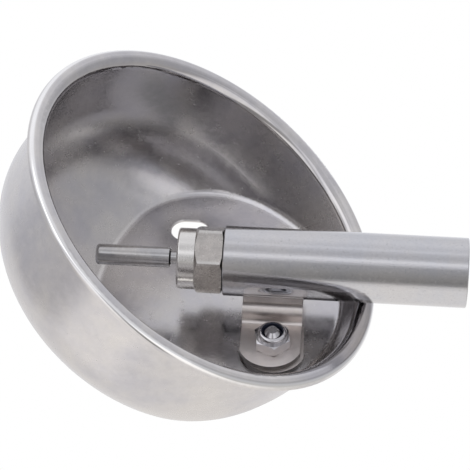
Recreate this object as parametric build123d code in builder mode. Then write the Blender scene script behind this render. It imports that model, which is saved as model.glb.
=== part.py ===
from build123d import *

import os
from math import cos, radians, sin, sqrt, tan

# Stainless wall-mounted drinking bowl for livestock, with a supply pipe and a pin valve.
# The back of the bowl lies in the plane Y = 0, where a wall would be, and the bowl opens towards -Y.
# +Z points up along the supply pipe. The origin is on the back face, midway between the two wall slots.
# All lengths are in millimetres and all angles in degrees.

# Bowl shell: a round drawn bowl with a turned-out rim, pressed flat on one side against the wall.
SHEET = 1.0  # thickness of the bowl's steel
RIM_RADIUS = 77.4  # outside of the rim
RIM_FLANGE = 7.4  # rim's outside to the inside of the bowl's wall
RIM_LIP = 2.6  # height of the lip that is turned down at the rim's outside
RIM_BEND = 3.0  # under-side radius of the bend from the wall into the flange
LIP_BEND = 1.2  # under-side radius of the bend from the flange into the lip
WALL_START = 4.2  # top of the rim to the start of the sloping wall
RIM_TILT = 33.4  # between the rim's plane and the wall
RIM_CENTRE_OUT = 49.8  # rim centre in front of the bowl's floor
RIM_CENTRE_UP = 11.2  # rim centre above the wall slots
BOWL_DEPTH = 66.9  # rim to the deepest inside point of the domed bottom, before pressing
DOME_RADIUS = 141
CORNER_RADIUS = 33
WALL_DRAFT = 1.8
FOLD_RADIUS = 5.0  # outside radius where the pressed flat meets the round wall

# Wall slots in the flat.
SLOT_WIDTH = 11.2
SLOT_LENGTH = 15.4
SLOT_SPACING = 78.6
SLOT_EDGE = 0.4  # chamfer round each slot on the inside of the bowl

# Supply pipe.
PIPE_DIAMETER = 26.9
PIPE_LENGTH = 93.1
PIPE_BOTTOM = 16.7  # lower end above the wall slots
PIPE_OUT = 23.9  # pipe axis in front of the bowl's floor
PIPE_BORE = 18.4
PIPE_CHAMFER = 0.3
THREAD_RADIUS = 9.9  # G 1/2 at its pitch line
THREAD_DEPTH = 18.0
THREAD_MOUTH = 0.8

# Bracket that carries the pipe, welded to it and held by one stud.
STUD_UP = 36.7  # stud above the wall slots
STUD_SIDE = 22.7  # stud to the side of the pipe axis
STUD_RADIUS = 4.0
STUD_FOOT_RADIUS = 5.0
STUD_FOOT = 0.8
STUD_PROUD = 0.6  # stud end past the nut
STUD_POINT = 2.0  # chamfer of the stud end
THREAD_PITCH = 1.25
THREAD_HEIGHT = 0.45
BRACKET_WIDTH = 23.2
BRACKET_LOWER = 0.7  # middle of the bracket below the stud
BRACKET_THICKNESS = 2.0
BRACKET_TIP = 12.5  # stud to the rounded end of the flange
BRACKET_TIP_RADIUS = 12.5
BRACKET_STEP_SIDE = 12.1  # pipe axis to the front of the step
BRACKET_BEND = 1.7  # inside radius of both bends
BRACKET_HOLE = 4.5
BRACKET_BACK = 9.0  # how far the upper leg runs past the pipe axis
SPACER_THICKNESS = 1.5
SPACER_TURN = 2.5  # the spacer sits slightly askew under the flange
SPACER_SHIFT = 0.5  # middle of the spacer above the stud
SPACER_PAST = 1.0  # spacer past the flange at the rounded end
SPACER_HOLE = 5.8
WELD_FROM = 3.0
WELD_TO = 8.4
WELD_RISE = 2.4
WELD_LENGTH = 22.6

# Thin lock nut M8 with a nylon ring.
NUT_FLATS = 12.8
NUT_HEX = 4.5
NUT_HEIGHT = 6.7
NUT_COLLAR = 5.6
NUT_EDGE = 0.9
NUT_TURN = 10  # hexagon turned about the stud
NUT_MOUTH = 4.3
NUT_POCKET = 4.8
RING_BOTTOM = 4.6
RING_HEIGHT = 1.8
THREAD_CLEARANCE = 0.05

# Pin valve in the lower end of the pipe.
GASKET = 0.4
GASKET_RADIUS = 11.6
HEX_FLATS = 24.0
HEX_LENGTH = 10.6
HEX_TURN = 6.5  # a corner of the hexagon past 45 degrees
HEX_CHAMFER = 0.6  # length of the chamfer at the pipe
HEX_LEAD = 1.4  # length of the chamfer at the collar
COLLAR_RADIUS = 11.75
COLLAR_LENGTH = 6.8
COLLAR_EDGE = 0.9
STUB_LENGTH = 15.0
MOUTH_RADIUS = 6.8
THROAT_RADIUS = 4.5
THROAT_LAND = 2.0
SHOULDER = 8.2  # collar face to the ledge that carries the seat ring
CHAMBER_RADIUS = 7.6
SEAT_HEIGHT = 3.0
PIVOT = 13.7  # collar face to the centre of the valve ball
BALL_RADIUS = 6.0
RUNNING = 0.05  # clearance between the ball and what it turns in
FOOT_RADIUS = 3.0
NECK_RADIUS = 2.5
INNER_NECK_RADIUS = 1.6
INNER_NECK_START = 6.7  # collar face to where the neck thins
NECK_SWING = 10.0  # half angle of the opening in the ball
PIN_RADIUS = 4.0
PIN_LENGTH = 29.0
PIN_GAP = 2.7  # visible neck between the pin and the collar
PIN_EDGE = 0.6
PIN_END = 1.4  # rounding of the free end
CUP_RADIUS = 7.3
CUP_START = 2.4  # cup's lower edge above the pivot
CUP_HEIGHT = 5.8
CUP_GROOVES = 6
CUP_GROOVE_RADIUS = 1.5  # water passes along these
CUP_PEG_RADIUS = 3.2
CUP_PEG_HEIGHT = 2.2
SPRING_WIRE = 0.9
SPRING_RADIUS = 4.4
SPRING_TURNS = 4
SPRING_GAP = 0.05
CAGE_PLUG = 3.5
CAGE_PLUG_FIT = 0.05
CAGE_HOLE = 3.0
CAGE_LIP = 1.3
CAGE_LIP_RADIUS = 9.0
CAGE_RADIUS = 7.2
CAGE_HEIGHT = 12.0
CAGE_RIBS = 4
CAGE_RIB_WIDTH = 2.4
CAGE_WALL = 1.2
CAGE_CAP = 1.4
MESH_WALL = 0.3
JET_BORE = 1.2
JET_HEIGHT = 3.0
JET_HEAD = 0.8
JET_HEAD_RADIUS = 4.2
JET_FIT = 0.05

# Places that follow from the sizes above.
floor_y = -SHEET  # the bowl's inside floor
pipe_radius = PIPE_DIAMETER / 2
pipe_y = floor_y - PIPE_OUT
pipe_top = PIPE_BOTTOM + PIPE_LENGTH
rim_centre = Vector(0, floor_y - RIM_CENTRE_OUT, RIM_CENTRE_UP)
rim_normal = Vector(0, -cos(radians(RIM_TILT)), sin(radians(RIM_TILT)))
section_plane = Plane(origin=rim_centre, x_dir=(1, 0, 0), z_dir=Vector(1, 0, 0).cross(rim_normal))
pipe_section = Plane(origin=(0, pipe_y, 0), x_dir=(1, 0, 0), z_dir=(0, -1, 0))
pipe_axis = Axis((0, pipe_y, 0), (0, 0, 1))
bracket_up = STUD_UP - BRACKET_LOWER
bracket_section = Plane(origin=(0, floor_y, bracket_up), x_dir=(1, 0, 0), z_dir=(0, 0, 1))
stud_plane = Plane(origin=(STUD_SIDE, floor_y, STUD_UP), x_dir=(1, 0, 0), z_dir=(0, -1, 0))
stud_axis = Axis(stud_plane.origin, stud_plane.z_dir)
stud_section = Plane(origin=stud_plane.origin, x_dir=(1, 0, 0), z_dir=(0, 0, 1))
spacer_turn = (cos(radians(SPACER_TURN)), 0, sin(radians(SPACER_TURN)))
spacer_origin = (STUD_SIDE, floor_y, STUD_UP + SPACER_SHIFT)
spacer_plane = Plane(origin=spacer_origin, x_dir=spacer_turn, z_dir=stud_plane.z_dir)
step_to_stud = STUD_SIDE - BRACKET_STEP_SIDE
flange_top = SPACER_THICKNESS + BRACKET_THICKNESS  # above the bowl's floor
stud_height = flange_top + NUT_HEIGHT + STUD_PROUD
hex_bottom = PIPE_BOTTOM - GASKET - HEX_LENGTH
collar_z = hex_bottom - COLLAR_LENGTH
pivot_z = collar_z + PIVOT
stub_radius = THREAD_RADIUS - THREAD_CLEARANCE
stub_top = PIPE_BOTTOM - GASKET + STUB_LENGTH
plug_bottom = stub_top - CAGE_PLUG
cup_top = pivot_z + CUP_START + CUP_HEIGHT


def bowl_solid(inset):
    """The bowl below its rim as if it were full, with its surface moved inwards by inset."""
    draft = radians(WALL_DRAFT)
    wall = RIM_RADIUS - RIM_FLANGE + SHEET - inset
    dome = DOME_RADIUS + SHEET - inset
    corner = CORNER_RADIUS + SHEET - inset
    dome_centre = BOWL_DEPTH - DOME_RADIUS
    # The corner's centre is one corner radius inside the sloping wall, and touches the dome from inside.
    reach = DOME_RADIUS - CORNER_RADIUS
    from_wall = (wall - tan(draft) * (dome_centre - WALL_START)) * cos(draft) - corner
    along = sqrt(reach**2 - from_wall**2)
    corner_x = from_wall * cos(draft) - along * sin(draft)
    corner_t = dome_centre + from_wall * sin(draft) + along * cos(draft)
    wall_end = (corner_x + corner * cos(draft), -(corner_t + corner * sin(draft)))
    corner_mid = (corner_x + corner * cos(radians(45)), -(corner_t + corner * sin(radians(45))))
    dome_end = (corner_x * dome / reach, -(dome_centre + (corner_t - dome_centre) * dome / reach))
    with BuildPart() as solid:
        with BuildSketch(section_plane):
            with BuildLine():
                Line((0, -WALL_START), (wall, -WALL_START))
                Line((wall, -WALL_START), wall_end)
                ThreePointArc(wall_end, corner_mid, dome_end)
                RadiusArc(dome_end, (0, -(dome_centre + dome)), dome)
                Line((0, -(dome_centre + dome)), (0, -WALL_START))
            make_face()
        revolve(axis=Axis(rim_centre, rim_normal))
        split(bisect_by=Plane.XZ.offset(inset), keep=Keep.TOP)
        flat_face = solid.faces().filter_by(Axis.Y).sort_by(Axis.Y)[-1]
        fillet(flat_face.edges(), FOLD_RADIUS - inset)
    return solid.part


os.makedirs("parts", exist_ok=True)

# Bowl shell, with its turned-out rim and the two wall slots.
bowl_outside = bowl_solid(0)
bowl_inside = bowl_solid(SHEET)
wall_middle = RIM_RADIUS - RIM_FLANGE + SHEET / 2
lip_middle = RIM_RADIUS - SHEET / 2
with BuildPart() as bowl_shell:
    add(bowl_outside)
    add(bowl_inside, mode=Mode.SUBTRACT)
    with BuildSketch(section_plane):
        with BuildLine():
            FilletPolyline(
                (wall_middle, -WALL_START),
                (wall_middle, -SHEET / 2),
                (lip_middle, -SHEET / 2),
                (lip_middle, -RIM_LIP),
                radius=(RIM_BEND + SHEET / 2, LIP_BEND + SHEET / 2),
            )
        trace(line_width=SHEET)
    revolve(axis=Axis(rim_centre, rim_normal))
    with BuildSketch(Plane.XZ):
        with Locations((-SLOT_SPACING / 2, 0), (SLOT_SPACING / 2, 0)):
            SlotOverall(SLOT_LENGTH, SLOT_WIDTH, rotation=90)
    extrude(amount=SHEET, mode=Mode.SUBTRACT)
    floor_face = bowl_shell.faces().filter_by(Axis.Y).sort_by(Axis.Y)[-2]
    chamfer([wire.edges() for wire in floor_face.inner_wires()], SLOT_EDGE)
bowl_shell.part.label = "bowl_shell"
export_step(bowl_shell.part, "parts/bowl_shell.step")

# Stud welded to the bowl's floor, with its thread ridges along the part above the flange.
with BuildPart() as weld_stud:
    with BuildSketch(stud_plane):
        Circle(STUD_FOOT_RADIUS)
    extrude(amount=STUD_FOOT)
    with BuildSketch(stud_plane):
        Circle(STUD_RADIUS)
    extrude(amount=stud_height)
    chamfer(weld_stud.edges().filter_by(GeomType.CIRCLE).sort_by(stud_axis)[-1], STUD_POINT)
    ridge_count = int((STUD_PROUD + NUT_HEIGHT - STUD_POINT) / THREAD_PITCH)
    with BuildSketch(stud_section):
        for ridge in range(ridge_count):
            root = -(stud_height - STUD_POINT - ridge * THREAD_PITCH)
            with BuildLine():
                Polyline(
                    (STUD_RADIUS, root),
                    (STUD_RADIUS - THREAD_HEIGHT, root + THREAD_PITCH / 2),
                    (STUD_RADIUS, root + THREAD_PITCH),
                    close=True,
                )
            make_face()
    revolve(axis=stud_axis, mode=Mode.SUBTRACT)
weld_stud.part.label = "weld_stud"
export_step(weld_stud.part, "parts/weld_stud.step")

# Spacer plate between the bowl's floor and the bracket.
spacer_tip = BRACKET_TIP + SPACER_PAST
with BuildPart() as bracket_spacer:
    with BuildSketch(spacer_plane):
        with Locations((spacer_tip - BRACKET_TIP_RADIUS, 0)):
            Circle(BRACKET_TIP_RADIUS)
            Rectangle(
                spacer_tip - BRACKET_TIP_RADIUS + step_to_stud,
                BRACKET_WIDTH,
                align=(Align.MAX, Align.CENTER),
            )
        with Locations((spacer_tip, 0)):
            Rectangle(
                spacer_tip + step_to_stud,
                BRACKET_WIDTH,
                align=(Align.MAX, Align.CENTER),
                mode=Mode.INTERSECT,
            )
        Circle(SPACER_HOLE, mode=Mode.SUBTRACT)
    extrude(amount=SPACER_THICKNESS)
bracket_spacer.part.label = "bracket_spacer"
export_step(bracket_spacer.part, "parts/bracket_spacer.step")

# Bracket: a bent strip with its flange on the spacer and its upper leg under the pipe.
leg_middle = -(PIPE_OUT - pipe_radius - BRACKET_THICKNESS / 2)
flange_middle = -(SPACER_THICKNESS + BRACKET_THICKNESS / 2)
step_middle = BRACKET_STEP_SIDE - BRACKET_THICKNESS / 2
with BuildPart() as bracket:
    with BuildSketch(bracket_section):
        with BuildLine():
            FilletPolyline(
                (-BRACKET_BACK, leg_middle),
                (step_middle, leg_middle),
                (step_middle, flange_middle),
                (STUD_SIDE + BRACKET_TIP, flange_middle),
                radius=BRACKET_BEND + BRACKET_THICKNESS / 2,
            )
        trace(line_width=BRACKET_THICKNESS)
    extrude(amount=BRACKET_WIDTH / 2, both=True)
    with BuildSketch(stud_plane.offset(SPACER_THICKNESS)):
        with Locations((BRACKET_TIP - BRACKET_TIP_RADIUS, -BRACKET_LOWER)):
            Rectangle(BRACKET_TIP_RADIUS, BRACKET_WIDTH, align=(Align.MIN, Align.CENTER))
            Circle(BRACKET_TIP_RADIUS, mode=Mode.SUBTRACT)
        Circle(BRACKET_HOLE)
    extrude(amount=BRACKET_THICKNESS, mode=Mode.SUBTRACT)
bracket.part.label = "bracket"
export_step(bracket.part, "parts/bracket.step")

# Lock nut with its hexagon, its turned collar and the pocket for the nylon ring.
nut_corner = NUT_FLATS / 2 / cos(radians(30))
with BuildPart() as lock_nut:
    with BuildSketch(stud_plane.offset(flange_top)):
        RegularPolygon(NUT_FLATS / 2, 6, major_radius=False, rotation=NUT_TURN)
    extrude(amount=NUT_HEX)
    with BuildSketch(stud_section):
        with BuildLine():
            Polyline(
                (0, -flange_top),
                (nut_corner - NUT_EDGE, -flange_top),
                (nut_corner, -flange_top - NUT_EDGE / 2),
                (nut_corner, -flange_top - NUT_HEX + NUT_EDGE / 2),
                (nut_corner - NUT_EDGE, -flange_top - NUT_HEX),
                (0, -flange_top - NUT_HEX),
                close=True,
            )
        make_face()
    revolve(axis=stud_axis, mode=Mode.INTERSECT)
    with BuildSketch(stud_plane.offset(flange_top)):
        Circle(NUT_COLLAR)
    extrude(amount=NUT_HEIGHT)
    collar_rim = lock_nut.edges().filter_by(GeomType.CIRCLE).sort_by(stud_axis)[-1]
    fillet(collar_rim, NUT_COLLAR - NUT_MOUTH - THREAD_CLEARANCE)
    with BuildSketch(stud_plane.offset(flange_top)):
        Circle(STUD_RADIUS + THREAD_CLEARANCE)
    extrude(amount=NUT_HEIGHT, mode=Mode.SUBTRACT)
    with BuildSketch(stud_plane.offset(flange_top + RING_BOTTOM)):
        Circle(NUT_MOUTH)
    extrude(amount=NUT_HEIGHT - RING_BOTTOM, mode=Mode.SUBTRACT)
    with BuildSketch(stud_plane.offset(flange_top + RING_BOTTOM)):
        Circle(NUT_POCKET)
    extrude(amount=RING_HEIGHT, mode=Mode.SUBTRACT)
lock_nut.part.label = "lock_nut"
export_step(lock_nut.part, "parts/lock_nut.step")

# Nylon ring held in the nut's pocket.
with BuildPart() as nut_ring:
    with BuildSketch(stud_plane.offset(flange_top + RING_BOTTOM)):
        Circle(NUT_POCKET)
        Circle(STUD_RADIUS + THREAD_CLEARANCE, mode=Mode.SUBTRACT)
    extrude(amount=RING_HEIGHT)
nut_ring.part.label = "nut_ring"
export_step(nut_ring.part, "parts/nut_ring.step")

# Supply pipe, threaded inside at both ends.
with BuildPart() as supply_pipe:
    with BuildSketch(pipe_section):
        with BuildLine():
            Polyline(
                (THREAD_RADIUS + THREAD_MOUTH, PIPE_BOTTOM),
                (pipe_radius - PIPE_CHAMFER, PIPE_BOTTOM),
                (pipe_radius, PIPE_BOTTOM + PIPE_CHAMFER),
                (pipe_radius, pipe_top - PIPE_CHAMFER),
                (pipe_radius - PIPE_CHAMFER, pipe_top),
                (THREAD_RADIUS + THREAD_MOUTH, pipe_top),
                (THREAD_RADIUS, pipe_top - THREAD_MOUTH),
                (THREAD_RADIUS, pipe_top - THREAD_DEPTH),
                (PIPE_BORE / 2, pipe_top - THREAD_DEPTH),
                (PIPE_BORE / 2, PIPE_BOTTOM + THREAD_DEPTH),
                (THREAD_RADIUS, PIPE_BOTTOM + THREAD_DEPTH),
                (THREAD_RADIUS, PIPE_BOTTOM + THREAD_MOUTH),
                close=True,
            )
        make_face()
    revolve(axis=pipe_axis)
supply_pipe.part.label = "supply_pipe"
export_step(supply_pipe.part, "parts/supply_pipe.step")

# Two weld beads in the gaps between the pipe and the bracket's upper leg.
leg_top = pipe_radius - PIPE_OUT
with BuildPart() as bracket_welds:
    with BuildSketch(bracket_section):
        with BuildLine():
            Polyline(
                (WELD_FROM, leg_top),
                (WELD_TO, leg_top),
                (WELD_TO - WELD_RISE / 3, leg_top - WELD_RISE),
                (WELD_FROM, leg_top - WELD_RISE),
                close=True,
            )
        make_face()
        with Locations((0, -PIPE_OUT)):
            Circle(pipe_radius, mode=Mode.SUBTRACT)
        mirror(about=Plane.YZ)
    extrude(amount=WELD_LENGTH / 2, both=True)
bracket_welds.part.label = "bracket_welds"
export_step(bracket_welds.part, "parts/bracket_welds.step")

# Flat gasket between the pipe's end and the valve's hexagon.
with BuildPart() as body_gasket:
    with BuildSketch(Plane(origin=(0, pipe_y, PIPE_BOTTOM - GASKET))):
        Circle(GASKET_RADIUS)
        Circle(THREAD_RADIUS, mode=Mode.SUBTRACT)
    extrude(amount=GASKET)
body_gasket.part.label = "body_gasket"
export_step(body_gasket.part, "parts/body_gasket.step")

# Valve body: collar, hexagon and threaded stub, with the mouth, the throat and the chamber inside.
hex_corner = HEX_FLATS / 2 / cos(radians(30))
hex_top = hex_bottom + HEX_LENGTH
with BuildPart() as valve_body:
    with BuildSketch(Plane(origin=(0, pipe_y, hex_bottom))):
        RegularPolygon(HEX_FLATS / 2, 6, major_radius=False, rotation=-45 + HEX_TURN)
    extrude(amount=HEX_LENGTH)
    with BuildSketch(pipe_section):
        with BuildLine():
            Polyline(
                (0, hex_bottom),
                (COLLAR_RADIUS, hex_bottom),
                (hex_corner, hex_bottom + HEX_LEAD),
                (hex_corner, hex_top - HEX_CHAMFER),
                (hex_corner - 2 * HEX_CHAMFER, hex_top),
                (0, hex_top),
                close=True,
            )
        make_face()
    revolve(axis=pipe_axis, mode=Mode.INTERSECT)
    with BuildSketch(pipe_section):
        with BuildLine():
            Polyline((0, collar_z), (COLLAR_RADIUS - COLLAR_EDGE, collar_z))
            RadiusArc(
                (COLLAR_RADIUS - COLLAR_EDGE, collar_z),
                (COLLAR_RADIUS, collar_z + COLLAR_EDGE),
                -COLLAR_EDGE,
            )
            Polyline(
                (COLLAR_RADIUS, collar_z + COLLAR_EDGE),
                (COLLAR_RADIUS, hex_bottom),
                (stub_radius, hex_bottom),
                (stub_radius, stub_top - THREAD_MOUTH),
                (stub_radius - THREAD_MOUTH, stub_top),
                (0, stub_top),
                (0, collar_z),
            )
        make_face()
    revolve(axis=pipe_axis)
    with BuildSketch(pipe_section):
        with BuildLine():
            Polyline(
                (0, collar_z),
                (MOUTH_RADIUS, collar_z),
                (THROAT_RADIUS, collar_z + SHOULDER - THROAT_LAND),
                (THROAT_RADIUS, collar_z + SHOULDER),
                (CHAMBER_RADIUS, collar_z + SHOULDER),
                (CHAMBER_RADIUS, stub_top),
                (0, stub_top),
                close=True,
            )
        make_face()
    revolve(axis=pipe_axis, mode=Mode.SUBTRACT)
valve_body.part.label = "valve_body"
export_step(valve_body.part, "parts/valve_body.step")

# Rubber seat ring on the ledge, hollowed to the ball.
seat_bottom = collar_z + SHOULDER
pivot = Location((0, pipe_y, pivot_z))
with BuildPart() as seat_ring:
    with BuildSketch(Plane(origin=(0, pipe_y, seat_bottom))):
        Circle(CHAMBER_RADIUS)
        Circle(THROAT_RADIUS, mode=Mode.SUBTRACT)
    extrude(amount=SEAT_HEIGHT)
    with Locations(pivot):
        Sphere(BALL_RADIUS + RUNNING, mode=Mode.SUBTRACT)
seat_ring.part.label = "seat_ring"
export_step(seat_ring.part, "parts/seat_ring.step")

# Hollow valve ball, open below for the neck of the pin.
swing = tan(radians(NECK_SWING))
opening = INNER_NECK_RADIUS + RUNNING
with BuildPart() as valve_ball:
    with Locations(pivot):
        Sphere(BALL_RADIUS)
        Sphere(FOOT_RADIUS + RUNNING, mode=Mode.SUBTRACT)
    with BuildSketch(pipe_section):
        with BuildLine():
            Polyline(
                (0, pivot_z),
                (opening, pivot_z),
                (opening + swing * BALL_RADIUS, pivot_z - BALL_RADIUS),
                (0, pivot_z - BALL_RADIUS),
                close=True,
            )
        make_face()
    revolve(axis=pipe_axis, mode=Mode.SUBTRACT)
valve_ball.part.label = "valve_ball"
export_step(valve_ball.part, "parts/valve_ball.step")

# Pin with its neck and the round foot that sits in the ball.
pin_top = collar_z - PIN_GAP
pin_bottom = pin_top - PIN_LENGTH
inner_neck = collar_z + INNER_NECK_START
with BuildPart() as valve_pin:
    with BuildSketch(pipe_section):
        with BuildLine():
            Polyline((0, pin_bottom), (PIN_RADIUS - PIN_END, pin_bottom))
            RadiusArc(
                (PIN_RADIUS - PIN_END, pin_bottom),
                (PIN_RADIUS, pin_bottom + PIN_END),
                -PIN_END,
            )
            Polyline(
                (PIN_RADIUS, pin_bottom + PIN_END),
                (PIN_RADIUS, pin_top - PIN_EDGE),
                (PIN_RADIUS - PIN_EDGE, pin_top),
                (NECK_RADIUS, pin_top),
                (NECK_RADIUS, inner_neck - (NECK_RADIUS - INNER_NECK_RADIUS)),
                (INNER_NECK_RADIUS, inner_neck),
                (INNER_NECK_RADIUS, pivot_z),
                (0, pivot_z),
                (0, pin_bottom),
            )
        make_face()
    revolve(axis=pipe_axis)
    with Locations(pivot):
        Sphere(FOOT_RADIUS)
valve_pin.part.label = "valve_pin"
export_step(valve_pin.part, "parts/valve_pin.step")

# Spring cup that rests on the ball and slides in the chamber.
cup_bottom = pivot_z + CUP_START
with BuildPart() as spring_cup:
    with BuildSketch(Plane(origin=(0, pipe_y, cup_bottom))):
        Circle(CUP_RADIUS)
    extrude(amount=CUP_HEIGHT)
    with BuildSketch(Plane(origin=(0, pipe_y, cup_top))):
        Circle(CUP_PEG_RADIUS)
    extrude(amount=CUP_PEG_HEIGHT)
    with Locations(pivot):
        Sphere(BALL_RADIUS + RUNNING, mode=Mode.SUBTRACT)
    with BuildSketch(Plane(origin=(0, pipe_y, cup_bottom))):
        with PolarLocations(CUP_RADIUS, CUP_GROOVES):
            Circle(CUP_GROOVE_RADIUS)
    extrude(amount=CUP_HEIGHT, mode=Mode.SUBTRACT)
spring_cup.part.label = "spring_cup"
export_step(spring_cup.part, "parts/spring_cup.step")

# Compression spring between the cup and the plug of the strainer cage.
spring_bottom = cup_top + SPRING_GAP + SPRING_WIRE / 2
spring_length = plug_bottom - SPRING_GAP - SPRING_WIRE / 2 - spring_bottom
with BuildPart() as valve_spring:
    with BuildLine():
        coil = Helix(
            spring_length / SPRING_TURNS,
            spring_length,
            SPRING_RADIUS,
            center=(0, pipe_y, spring_bottom),
        )
    with BuildSketch(Plane(origin=coil @ 0, z_dir=coil % 0)):
        Circle(SPRING_WIRE / 2)
    sweep(path=coil)
valve_spring.part.label = "valve_spring"
export_step(valve_spring.part, "parts/valve_spring.step")

# Strainer cage: a plug in the chamber, a lip on the stub's end, four ribs and a cap.
cage_top = stub_top + CAGE_LIP + CAGE_HEIGHT
with BuildPart() as strainer_cage:
    with BuildSketch(Plane(origin=(0, pipe_y, plug_bottom))):
        Circle(CHAMBER_RADIUS - CAGE_PLUG_FIT)
    extrude(amount=CAGE_PLUG)
    with BuildSketch(Plane(origin=(0, pipe_y, stub_top))):
        Circle(CAGE_LIP_RADIUS)
    extrude(amount=CAGE_LIP)
    with BuildSketch(Plane(origin=(0, pipe_y, plug_bottom))):
        Circle(CAGE_HOLE)
    extrude(amount=CAGE_PLUG + CAGE_LIP, mode=Mode.SUBTRACT)
    with BuildSketch(Plane(origin=(0, pipe_y, stub_top + CAGE_LIP))):
        with PolarLocations(CAGE_RADIUS - CAGE_WALL / 2, CAGE_RIBS):
            Rectangle(CAGE_WALL, CAGE_RIB_WIDTH)
    extrude(amount=CAGE_HEIGHT)
    with BuildSketch(Plane(origin=(0, pipe_y, cage_top - CAGE_CAP))):
        Circle(CAGE_RADIUS)
    extrude(amount=CAGE_CAP)
strainer_cage.part.label = "strainer_cage"
export_step(strainer_cage.part, "parts/strainer_cage.step")

# Wire mesh sleeve inside the ribs.
with BuildPart() as strainer_mesh:
    with BuildSketch(Plane(origin=(0, pipe_y, stub_top + CAGE_LIP))):
        Circle(CAGE_RADIUS - CAGE_WALL)
        Circle(CAGE_RADIUS - CAGE_WALL - MESH_WALL, mode=Mode.SUBTRACT)
    extrude(amount=CAGE_HEIGHT - CAGE_CAP)
strainer_mesh.part.label = "strainer_mesh"
export_step(strainer_mesh.part, "parts/strainer_mesh.step")

# Flow jet pressed into the plug from above; it sets how much water the valve lets through.
with BuildPart() as flow_jet:
    with BuildSketch(Plane(origin=(0, pipe_y, stub_top + CAGE_LIP - JET_HEIGHT))):
        Circle(CAGE_HOLE - JET_FIT)
    extrude(amount=JET_HEIGHT)
    with BuildSketch(Plane(origin=(0, pipe_y, stub_top + CAGE_LIP))):
        Circle(JET_HEAD_RADIUS)
    extrude(amount=JET_HEAD)
    with BuildSketch(Plane(origin=(0, pipe_y, stub_top + CAGE_LIP - JET_HEIGHT))):
        Circle(JET_BORE)
    extrude(amount=JET_HEIGHT + JET_HEAD, mode=Mode.SUBTRACT)
flow_jet.part.label = "flow_jet"
export_step(flow_jet.part, "parts/flow_jet.step")
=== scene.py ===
from math import cos, radians, sin

import bpy
from mathutils import Matrix, Vector


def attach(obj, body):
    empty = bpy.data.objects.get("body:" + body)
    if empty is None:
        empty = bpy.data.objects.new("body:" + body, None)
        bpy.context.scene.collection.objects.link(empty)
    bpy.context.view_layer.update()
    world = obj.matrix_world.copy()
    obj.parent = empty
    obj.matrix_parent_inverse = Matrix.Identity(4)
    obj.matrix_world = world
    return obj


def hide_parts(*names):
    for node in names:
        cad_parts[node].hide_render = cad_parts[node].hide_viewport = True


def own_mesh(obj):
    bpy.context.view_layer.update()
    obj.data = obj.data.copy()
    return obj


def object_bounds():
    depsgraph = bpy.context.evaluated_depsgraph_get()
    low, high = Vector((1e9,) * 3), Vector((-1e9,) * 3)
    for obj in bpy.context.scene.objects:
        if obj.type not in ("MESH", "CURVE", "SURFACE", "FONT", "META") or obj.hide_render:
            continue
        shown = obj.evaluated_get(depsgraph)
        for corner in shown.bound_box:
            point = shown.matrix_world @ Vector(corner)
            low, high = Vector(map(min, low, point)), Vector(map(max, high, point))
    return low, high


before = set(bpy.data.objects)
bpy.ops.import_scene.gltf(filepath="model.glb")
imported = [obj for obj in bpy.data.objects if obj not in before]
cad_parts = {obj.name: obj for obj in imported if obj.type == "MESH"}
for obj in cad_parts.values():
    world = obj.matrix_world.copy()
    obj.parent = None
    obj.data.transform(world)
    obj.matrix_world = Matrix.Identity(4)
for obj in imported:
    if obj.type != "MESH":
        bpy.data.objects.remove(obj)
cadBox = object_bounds()
print("loaded", len(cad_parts), "nodes")


# A socket that can stand in a Python sum.
class Sum:
    def __init__(self, graph, socket):
        self.graph = graph
        self.socket = socket

    def by(self, operation, first, second=0.0):
        settings = {"operation": operation}
        return self.graph.add("ShaderNodeMath", settings, {0: first, 1: second})

    def __add__(self, other):
        return self.by("ADD", self, other)

    def __radd__(self, other):
        return self.by("ADD", other, self)

    def __sub__(self, other):
        return self.by("SUBTRACT", self, other)

    def __rsub__(self, other):
        return self.by("SUBTRACT", other, self)

    def __mul__(self, other):
        return self.by("MULTIPLY", self, other)

    def __rmul__(self, other):
        return self.by("MULTIPLY", other, self)

    def __truediv__(self, other):
        return self.by("DIVIDE", self, other)

    def __rtruediv__(self, other):
        return self.by("DIVIDE", other, self)


# The nodes of one material or of the world.
class Graph:
    def __init__(self, tree):
        self.tree = tree
        tree.nodes.clear()

    def add(self, kind, settings=None, sockets=None, out=0):
        node = self.tree.nodes.new(kind)
        for name, value in (settings or {}).items():
            if name == "stops":
                self.fillRamp(node.color_ramp, value)
            else:
                setattr(node, name, value)
        for name, value in (sockets or {}).items():
            if isinstance(value, Sum):
                self.tree.links.new(value.socket, node.inputs[name])
            else:
                node.inputs[name].default_value = value
        return Sum(self, node.outputs[out]) if len(node.outputs) else None

    def fillRamp(self, ramp, stops):
        for stop in stops[1:-1]:
            ramp.elements.new(stop[0])
        for element, (place, grey) in zip(ramp.elements, stops):
            element.position = place
            element.color = (grey, grey, grey, 1)

    def smooth(self, value, low, high, first=0.0, last=1.0):
        return self.add(
            "ShaderNodeMapRange",
            {"interpolation_type": "SMOOTHSTEP"},
            {"Value": value, "From Min": low, "From Max": high, "To Min": first, "To Max": last},
        )

    def mix(self, share, first, last):
        sockets = {0: share, 6: first, 7: last}  # 6, 7 and 2 are the node's colour sockets
        return self.add("ShaderNodeMix", {"data_type": "RGBA"}, sockets, out=2)

    def vector(self, operation, sockets, out=0):
        return self.add("ShaderNodeVectorMath", {"operation": operation}, sockets, out)

    def dot(self, place, axis):
        return self.vector("DOT_PRODUCT", {0: place, 1: axis}, out="Value")

    def place(self):
        return self.add("ShaderNodeTexCoord", out="Object")

    def stretched(self, place, stretch):
        return self.vector("MULTIPLY", {0: place, 1: stretch})

    def noise(self, place, scale, detail, roughness):
        sockets = {"Vector": place, "Scale": scale, "Detail": detail, "Roughness": roughness}
        return self.add("ShaderNodeTexNoise", None, sockets)


def newMaterial(name):
    material = bpy.data.materials.new(name)
    material.use_nodes = True
    return material, Graph(material.node_tree)


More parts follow.
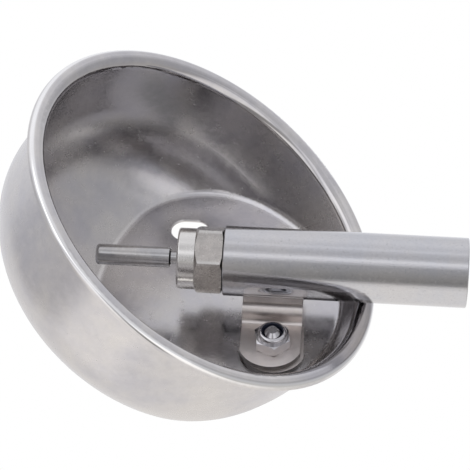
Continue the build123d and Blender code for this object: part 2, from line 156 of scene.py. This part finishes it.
def rgba(colour):
    return (*colour, 1)


# The relief, the shader and the output that close every material of the part.
def shade(graph, height, depth, sockets):
    relief = {"Strength": 1.0, "Distance": depth, "Height": height}
    bump = graph.add("ShaderNodeBump", None, relief)
    shader = graph.add("ShaderNodeBsdfPrincipled", None, {**sockets, "Normal": bump})
    graph.add("ShaderNodeOutputMaterial", None, {"Surface": shader})


# What every steel shares: each noise's detail and roughness, and where its marks begin and end.
marks = {
    "patchNoise": (4.0, 0.55),
    "patchShare": 0.7,
    "patchEdge": (0.36, 0.64),
    "blotchNoise": (5.0, 0.65),
    "blotchShare": 0.3,
    "blotchesPerPatch": 4.3,
    "grainNoise": (2.0, 0.55),
    "speckNoise": (2.0, 0.7),
    "speckEdge": (0.6, 0.74),
    "mottleNoise": (4.0, 0.7),
    "scuffNoise": (3.0, 0.75),
    "scuffEdge": (0.56, 0.7),
    "lineNoise": (3.0, 0.7),
}


# Steel with patches, specks and a mottle in its tint, scuffs in its gloss, a grain and lines.
def steel(name, look, lines=None, polish=None, wearAndPaintedLight=None):
    material, graph = newMaterial(name)
    place = graph.place()
    patches = graph.noise(place, look["patchScale"], *marks["patchNoise"])
    blotchScale = look["patchScale"] * marks["blotchesPerPatch"]
    blotches = graph.noise(place, blotchScale, *marks["blotchNoise"])
    grain = graph.noise(place, look["grainScale"], *marks["grainNoise"])
    blend = patches * marks["patchShare"] + blotches * marks["blotchShare"]
    patch = graph.smooth(blend, *marks["patchEdge"])
    colour = graph.mix(patch, rgba(look["coolTint"]), rgba(look["warmTint"]))
    specks = graph.noise(place, look["speckScale"], *marks["speckNoise"])
    speck = graph.smooth(specks, *marks["speckEdge"])
    colour = graph.mix(speck * look["speckShare"], colour, rgba(look["speckTint"]))
    mottle = graph.noise(place, look["mottleScale"], *marks["mottleNoise"]) - 0.5
    colour = graph.vector("SCALE", {0: colour, 3: 1.0 + mottle * look["mottleTint"]})
    scuffs = graph.noise(place, look["scuffScale"], *marks["scuffNoise"])
    scuff = graph.smooth(scuffs, *marks["scuffEdge"])
    gloss = look["roughness"] + (patch - 0.5) * look["roughnessSwing"] + scuff * look["scuffGain"]
    gloss = gloss + mottle * look["mottleGloss"]
    # Where given, worn marks and painted highlights and shade are mixed into the tint.
    if wearAndPaintedLight:
        colour = graph.mix(wearAndPaintedLight(graph, place), colour, rgba(look["wearAndPaintedLightTint"]))
    if polish:
        gloss = gloss - polish(graph, place) * (gloss - look["polished"])
    height = grain * look["grainHeight"]
    if lines:
        drawn = graph.noise(lines(graph, place), 1.0, *marks["lineNoise"])
        height = height + drawn * look["lineHeight"]
    sockets = {"Base Color": colour, "Metallic": 1.0, "Roughness": gloss}
    shade(graph, height, look["bumpDepth"], sockets)
    return material


# Moulded plastic or rubber with a faint grain.
def moulded(name, look):
    material, graph = newMaterial(name)
    place = graph.place()
    patch = graph.noise(place, look["patchScale"], *look["patchNoise"])
    colour = graph.mix(patch, rgba(look["darkTint"]), rgba(look["lightTint"]))
    grain = graph.noise(place, look["grainScale"], *look["grainNoise"])
    gloss = look["roughness"] + patch * look["roughnessGain"]
    shade(graph, grain, look["bumpDepth"], {"Base Color": colour, "Roughness": gloss})
    return material


def dress(material, *nodes):
    for node in nodes:
        for slot in bpy.data.objects[node].material_slots:
            slot.material = material


# Bowl: satin drawn steel, with lines that run round the rim's axis, and a painted highlight on the
# lip's bend.
bowl = {
    "rimTilt": radians(33.4),
    "rimCentre": (0.0, -0.0508, 0.0112),
    "lineScale": 900.0,
    "lineRun": 14.0,
    "patchScale": 24.0,
    "grainScale": 2600.0,
    "speckScale": 2600.0,
    "scuffScale": 300.0,
    "mottleScale": 260.0,
    "mottleTint": 0.22,
    "mottleGloss": 0.16,
    "coolTint": (0.5, 0.488, 0.508),
    "warmTint": (0.6, 0.577, 0.56),
    "speckTint": (0.36, 0.35, 0.35),
    "speckShare": 0.15,
    "scuffGain": 0.06,
    "roughness": 0.225,
    "roughnessSwing": 0.08,
    "polished": 0.1,
    # The lip's painted highlight: its tint, where it begins and ends across the rim's axis, and its
    # share.
    "wearAndPaintedLightTint": (0.97, 0.96, 0.95),
    "highlightFrom": (0.0755, 0.0763),
    "highlightTo": (0.0769, 0.0774),
    "highlightShare": 0.8,
    "rimInside": (0.0688, 0.0705),
    "rimBelow": (-0.0052, -0.0036),
    "grainHeight": 0.35,
    "lineHeight": 1.3,
    "bumpDepth": 0.000012,
}


# Height above the rim's plane, distance from the rim's axis and the vector from its centre.
def fromRim(graph, place):
    axis = (0.0, -cos(bowl["rimTilt"]), sin(bowl["rimTilt"]))
    fromCentre = graph.vector("SUBTRACT", {0: place, 1: bowl["rimCentre"]})
    along = graph.dot(fromCentre, axis)
    crossed = graph.vector("CROSS_PRODUCT", {0: fromCentre, 1: axis})
    across = graph.vector("LENGTH", {0: crossed}, out="Value")
    return along, across, fromCentre


# The turned-out rim is smoother than the bowl inside it.
def rimPolish(graph, place):
    along, across = fromRim(graph, place)[:2]
    return graph.smooth(across, *bowl["rimInside"]) * graph.smooth(along, *bowl["rimBelow"])


# The lip's bend is painted bright: a painted highlight along it.
def rimHighlight(graph, place):
    across = fromRim(graph, place)[1]
    inner = graph.smooth(across, *bowl["highlightFrom"])
    outer = graph.smooth(across, *bowl["highlightTo"], 1.0, 0.0)
    return inner * outer * bowl["highlightShare"]


def roundRim(graph, place):
    along, across, fromCentre = fromRim(graph, place)
    sideways = graph.dot(fromCentre, (1.0, 0.0, 0.0))
    sockets = {
        "X": along * bowl["lineScale"],
        "Y": across * bowl["lineScale"],
        "Z": sideways * bowl["lineRun"],
    }
    return graph.add("ShaderNodeCombineXYZ", None, sockets)


dress(steel("satinSteel", bowl, roundRim, rimPolish, rimHighlight), "bowl_shell")

# Supply pipe: polished, with fine speckles and lines drawn along it.
pipe = {
    "stretch": (1500.0, 1500.0, 160.0),
    "patchScale": 40.0,
    "grainScale": 3000.0,
    "speckScale": 1100.0,
    "scuffScale": 900.0,
    "mottleScale": 1000.0,
    "mottleTint": 0.16,
    "mottleGloss": 0.1,
    "coolTint": (0.53, 0.532, 0.556),
    "warmTint": (0.565, 0.553, 0.556),
    "speckTint": (0.3, 0.3, 0.31),
    "speckShare": 0.35,
    "scuffGain": 0.1,
    "roughness": 0.12,
    "roughnessSwing": 0.04,
    "grainHeight": 0.3,
    "lineHeight": 1.0,
    "bumpDepth": 0.000018,
}


def alongPipe(graph, place):
    return graph.stretched(place, pipe["stretch"])


dress(steel("polishedSteel", pipe, alongPipe), "supply_pipe")

# Valve body: turned and milled, a little warm in tint, with a painted highlight on its collar.
valve = {
    "stretch": (180.0, 180.0, 2400.0),
    "patchScale": 70.0,
    "grainScale": 1500.0,
    "speckScale": 1300.0,
    "scuffScale": 800.0,
    "mottleScale": 320.0,
    "mottleTint": 0.4,
    "mottleGloss": 0.2,
    "coolTint": (0.45, 0.432, 0.412),
    "warmTint": (0.55, 0.515, 0.485),
    # The collar's painted highlight and the hexagon's worn corners: their tint, and where they
    # begin.
    "wearAndPaintedLightTint": (0.7, 0.68, 0.655),
    "collarTop": (0.0054, 0.0062),
    "axisY": -0.0249,
    "cornerFrom": (0.0131, 0.0136),
    "cornerShare": 0.8,
    "speckTint": (0.24, 0.215, 0.2),
    "speckShare": 0.5,
    "scuffGain": 0.2,
    "roughness": 0.17,
    "roughnessSwing": 0.1,
    "grainHeight": 1.0,
    "lineHeight": 0.5,
    "bumpDepth": 0.00003,
}


def aroundPipe(graph, place):
    return graph.stretched(place, valve["stretch"])


# The turned collar is painted brighter, a painted highlight, and the corners of the milled hexagon
# above it are worn brighter.
def valveWearAndHighlight(graph, place):
    height = graph.dot(place, (0.0, 0.0, 1.0))
    collar = graph.smooth(height, *valve["collarTop"], 1.0, 0.0)
    flat = graph.vector("MULTIPLY", {0: place, 1: (1.0, 1.0, 0.0)})
    across = graph.vector("DISTANCE", {0: flat, 1: (0.0, valve["axisY"], 0.0)}, out="Value")
    corner = graph.smooth(across, *valve["cornerFrom"]) * valve["cornerShare"]
    return collar.by("MAXIMUM", collar, corner)


dress(steel("turnedSteel", valve, aroundPipe, wearAndPaintedLight=valveWearAndHighlight), "valve_body")
dress(steel("ballSteel", valve, aroundPipe), "valve_ball")

# Pin: drawn rod, smoother than the body.
pin = {
    **valve,
    "coolTint": (0.43, 0.425, 0.43),
    "warmTint": (0.5, 0.48, 0.465),
    "speckShare": 0.3,
    "scuffGain": 0.1,
    "roughness": 0.16,
    "bumpDepth": 0.000015,
}
dress(steel("pinSteel", pin, aroundPipe), "valve_pin")

# Bracket and spacer: satin strip, rolled along its length, with painted shade on its sheared edges.
bracket = {
    "stretch": (120.0, 120.0, 2200.0),
    "patchScale": 60.0,
    "grainScale": 2200.0,
    "speckScale": 1800.0,
    "scuffScale": 600.0,
    "mottleScale": 300.0,
    "mottleTint": 0.15,
    "mottleGloss": 0.1,
    "coolTint": (0.7, 0.655, 0.63),
    "warmTint": (0.78, 0.72, 0.69),
    # The painted shade on the strip's sheared edges: its tint, which faces it covers and how far
    # out it reaches.
    "wearAndPaintedLightTint": (0.16, 0.15, 0.145),
    "shearedSide": (0.2, 0.6),
    "roundedEnd": (0.022, 0.026),
    "speckTint": (0.36, 0.33, 0.3),
    "speckShare": 0.15,
    "scuffGain": 0.05,
    "roughness": 0.38,
    "roughnessSwing": 0.08,
    "grainHeight": 0.6,
    "lineHeight": 0.6,
    "bumpDepth": 0.00002,
}


def alongStrip(graph, place):
    return graph.stretched(place, bracket["stretch"])


# The strip's sheared edges are painted darker than its faces: painted shade that stands in for
# their dark reflections.
def paintedEdgeShade(graph, place):
    normal = graph.add("ShaderNodeTexCoord", out="Normal")
    facing = graph.vector("ABSOLUTE", {0: normal})
    alongY = graph.dot(facing, (0.0, 1.0, 0.0))
    alongZ = graph.dot(facing, (0.0, 0.0, 1.0))
    reach = graph.dot(place, (1.0, 0.0, 0.0))
    side = graph.smooth(alongZ, *bracket["shearedSide"])
    beyond = graph.smooth(reach, *bracket["roundedEnd"])
    end = beyond * graph.smooth(alongY, *bracket["shearedSide"], 1.0, 0.0)
    return side.by("MAXIMUM", side, end)


dress(steel("stripSteel", bracket, alongStrip, wearAndPaintedLight=paintedEdgeShade), "bracket", "bracket_spacer")
dress(steel("weldSteel", bracket, alongStrip), "bracket_welds")

# Nut, stud, spring and mesh: bright and fairly smooth.
bright = {
    **pin,
    "mottleTint": 0.1,
    "mottleGloss": 0.05,
    "coolTint": (0.52, 0.51, 0.53),
    "warmTint": (0.6, 0.58, 0.57),
    "speckShare": 0.1,
    "scuffGain": 0.04,
    "roughness": 0.08,
    "roughnessSwing": 0.03,
    "bumpDepth": 0.000006,
}
brightSteel = steel("brightSteel", bright, aroundPipe)
dress(brightSteel, "lock_nut", "weld_stud", "valve_spring", "strainer_mesh")

# Nylon ring, rubber and the white mouldings inside.
nylon = {
    "darkTint": (0.012, 0.014, 0.03),
    "lightTint": (0.03, 0.035, 0.06),
    "patchScale": 200.0,
    "patchNoise": (3.0, 0.55),
    "grainScale": 1800.0,
    "grainNoise": (2.0, 0.55),
    "bumpDepth": 0.00001,
    "roughness": 0.3,
    "roughnessGain": 0.1,
}
rubber = {
    **nylon,
    "darkTint": (0.015, 0.015, 0.015),
    "lightTint": (0.03, 0.03, 0.03),
    "roughness": 0.6,
}
acetal = {
    **nylon,
    "darkTint": (0.68, 0.66, 0.6),
    "lightTint": (0.78, 0.76, 0.71),
    "roughness": 0.4,
}
dress(moulded("darkNylon", nylon), "nut_ring")
dress(moulded("blackRubber", rubber), "body_gasket", "seat_ring")
dress(moulded("whiteAcetal", acetal), "spring_cup", "strainer_cage", "flow_jet")

# In the valve the spring shortens as the pin is pushed in, with its upper end against the cage's
# plug; here it is a copy with a mesh of its own on the bowl's body, and the solid spring is hidden.
solidSpring = bpy.data.objects["valve_spring"]
springCoil = bpy.data.objects.new("springCoil", solidSpring.data.copy())
bpy.context.collection.objects.link(springCoil)
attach(springCoil, "bowl")
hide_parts("valve_spring")
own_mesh(springCoil)
print("dressed the solids")

# Camera: half way between the front and the side, rolled so that the pipe lies across the view.
view = {
    "place": (0.6505, -0.6920, 0.0681),
    "tilt": 0.7859960,
    "turn": 0.0726038,
    "lens": 186.14,
    "farthest": 20,
}
tilt, turn = view["tilt"], view["turn"]
ahead = Vector((-cos(turn) * cos(tilt), sin(tilt), -sin(turn) * cos(tilt)))
right = Vector((-sin(turn), 0, cos(turn)))
upward = right.cross(ahead)
camera = bpy.data.objects.new("camera", bpy.data.cameras.new("camera"))
bpy.context.collection.objects.link(camera)
axes = Matrix((right, upward, -ahead)).transposed().to_4x4()
camera.matrix_world = Matrix.Translation(view["place"]) @ axes
camera.data.lens = view["lens"]
camera.data.sensor_fit = "HORIZONTAL"
camera.data.clip_end = view["farthest"]
bpy.context.scene.camera = camera
print("camera set")

# Studio: a white tent round the line across the camera's view, which is nearly the pipe's own,
# with a dark side just below the camera. Each stop is an angle about that line, from the camera
# (0) up (90) or down (-90) in its view, and a level.
studio = {
    "levels": [
        (-180, 0.8), (-104, 0.9), (-66, 0.89), (-54, 0.76), (-46, 0.34), (-38, 0.27), (-9, 0.38),
        (6, 0.44), (14, 0.7), (20, 0.94), (26, 0.98), (31, 0.7), (40, 0.58), (53, 0.66), (63, 0.84),
        (71, 0.74), (95, 0.84), (133, 0.76), (180, 0.84),
    ],
    "gain": 1.19,
    "ends": [
        {"level": 0.46, "from": 0.5, "to": 0.95},
        {"level": 0.62, "from": -0.78, "to": -0.95},
    ],
    # Cards hung in the tent: each has its angles, its reach along the same line and a level.
    "cards": {
        "frontCard": {"angle": (-60, 6), "along": (0.16, 0.76), "level": 0.95},
        "lowCard": {"angle": (-112, -60), "along": (-0.84, -0.4), "level": 1.02},
        "leftCard": {"angle": (-60, 6), "along": (-0.9, -0.2), "level": 0.98},
        "shadeCard": {"angle": (18, 66), "along": (0.14, 0.68), "level": 0.63},
        "sideCard": {"angle": (24, 74), "along": (-0.62, -0.22), "level": 1.15},
    },
    "cardEdge": (7.0, 0.07),
    "warm": (1.008, 0.99, 0.978, 1),
    "cool": (0.975, 0.985, 1.03, 1),
    "coolFrom": (-0.5, 0.2),
    "paper": (0.9, 0.9, 0.9, 1),
    "floorDrop": 0.14,
    "floorSize": 12.0,
    "glow": {"From Min": 0.2, "From Max": 0.8, "To Min": 0.96, "To Max": 1.0},
}


# Where an angle falls on a scale from 0 at -180 degrees to 1 at 180.
def onScale(degrees):
    return degrees / 360 + 0.5


# One inside a span and nothing outside it, with soft edges.
def window(graph, value, span, edge):
    low, high = span
    opening = graph.smooth(value, low - edge, low + edge)
    return opening * graph.smooth(value, high - edge, high + edge, 1.0, 0.0)


world = bpy.data.worlds.new("studio")
bpy.context.scene.world = world
world.use_nodes = True
graph = Graph(world.node_tree)
direction = graph.add("ShaderNodeTexCoord", out="Generated")
forward = graph.dot(direction, tuple(-ahead))
above = graph.dot(direction, tuple(upward))
along = graph.dot(direction, tuple(right))
angle = forward.by("ARCTAN2", above, forward) / radians(360) + 0.5
stops = [(onScale(degrees), level) for degrees, level in studio["levels"]]
level = graph.add("ShaderNodeValToRGB", {"stops": stops}, {"Fac": angle})
angleEdge, alongEdge = studio["cardEdge"]
for card in studio["cards"].values():
    span = [onScale(degrees) for degrees in card["angle"]]
    share = window(graph, angle, span, angleEdge / 360)
    share = share * window(graph, along, card["along"], alongEdge)
    level = level + share * (card["level"] - level)
for end in studio["ends"]:
    level = level + graph.smooth(along, end["from"], end["to"]) * (end["level"] - level)
coolShare = graph.smooth(above, *studio["coolFrom"])
tint = graph.mix(coolShare, studio["warm"], studio["cool"])
tent = graph.add("ShaderNodeBackground", None, {"Color": tint, "Strength": level * studio["gain"]})
white = graph.add("ShaderNodeBackground", None, {"Color": (1, 1, 1, 1), "Strength": 1.0})
seen = graph.add("ShaderNodeLightPath", out="Is Camera Ray")
both = graph.add("ShaderNodeMixShader", None, {0: seen, 1: tent, 2: white})
graph.add("ShaderNodeOutputWorld", None, {"Surface": both})

# A pale floor below the part, white further off, which reflections don't show.
floorZ = cadBox[0][2] - studio["floorDrop"]
bpy.ops.mesh.primitive_plane_add(size=studio["floorSize"], location=(0, 0, floorZ))
floor = bpy.context.object
floor.name = "floor"
material, graph = newMaterial("paleFloor")
paper = graph.add("ShaderNodeBsdfDiffuse", None, {"Color": studio["paper"]})
glow = graph.add("ShaderNodeEmission", None, {"Color": (1, 1, 1, 1), "Strength": 1.0})
cameraRay = graph.add("ShaderNodeLightPath", out="Is Camera Ray")
glossyRay = graph.add("ShaderNodeLightPath", out="Is Glossy Ray")
clear = graph.add("ShaderNodeBsdfTransparent")
away = graph.vector("LENGTH", {0: graph.place()}, out="Value")
share = graph.add("ShaderNodeMapRange", None, {"Value": away, **studio["glow"]})
pale = graph.add("ShaderNodeMixShader", None, {0: cameraRay * share, 1: paper, 2: glow})
surface = graph.add("ShaderNodeMixShader", None, {0: glossyRay, 1: pale, 2: clear})
graph.add("ShaderNodeOutputMaterial", None, {"Surface": surface})
floor.data.materials.append(material)

# A dark flag behind the bowl. It shows only in reflections from further off than nearest.
flag = {
    "middle": (-0.008, 0.052, 0.022),
    "facing": (-0.472, -0.805, -0.359),
    "size": 0.056,
    "level": 0.25,
    "nearest": 0.086,
}
bpy.ops.mesh.primitive_plane_add(size=flag["size"], location=flag["middle"])
darkFlag = bpy.context.object
darkFlag.name = "darkFlag"
darkFlag.rotation_mode = "QUATERNION"
darkFlag.rotation_quaternion = Vector(flag["facing"]).to_track_quat("Z", "Y")
material, graph = newMaterial("flagCloth")
cloth = graph.add("ShaderNodeEmission", None, {"Color": (1, 1, 1, 1), "Strength": flag["level"]})
clear = graph.add("ShaderNodeBsdfTransparent")
glossyRay = graph.add("ShaderNodeLightPath", out="Is Glossy Ray")
rayLength = graph.add("ShaderNodeLightPath", out="Ray Length")
fromFar = rayLength.by("GREATER_THAN", rayLength, flag["nearest"])
surface = graph.add("ShaderNodeMixShader", None, {0: glossyRay * fromFar, 1: clear, 2: cloth})
graph.add("ShaderNodeOutputMaterial", None, {"Surface": surface})
darkFlag.data.materials.append(material)

# One soft lamp above the camera's view, which reflections don't show.
lamp = {
    "above": 75,
    "aside": -0.2,
    "aim": (0, -0.03, 0.03),
    "far": 1.3,
    "length": 0.9,
    "width": 0.5,
    "power": 1.0,
}
light = bpy.data.lights.new("keyLamp", "AREA")
light.shape = "RECTANGLE"
light.size = lamp["length"]
light.size_y = lamp["width"]
light.energy = lamp["power"]
keyLamp = bpy.data.objects.new("keyLamp", light)
bpy.context.collection.objects.link(keyLamp)
rise = radians(lamp["above"])
towards = -ahead * cos(rise) + upward * sin(rise) + right * lamp["aside"]
away = towards.normalized()
sideways = (right - away * right.dot(away)).normalized()
axes = Matrix((sideways, away.cross(sideways), away)).transposed().to_4x4()
keyLamp.matrix_world = Matrix.Translation(away * lamp["far"] + Vector(lamp["aim"])) @ axes
keyLamp.visible_glossy = False

bpy.context.scene.view_settings.view_transform = "Standard"
print("studio set")
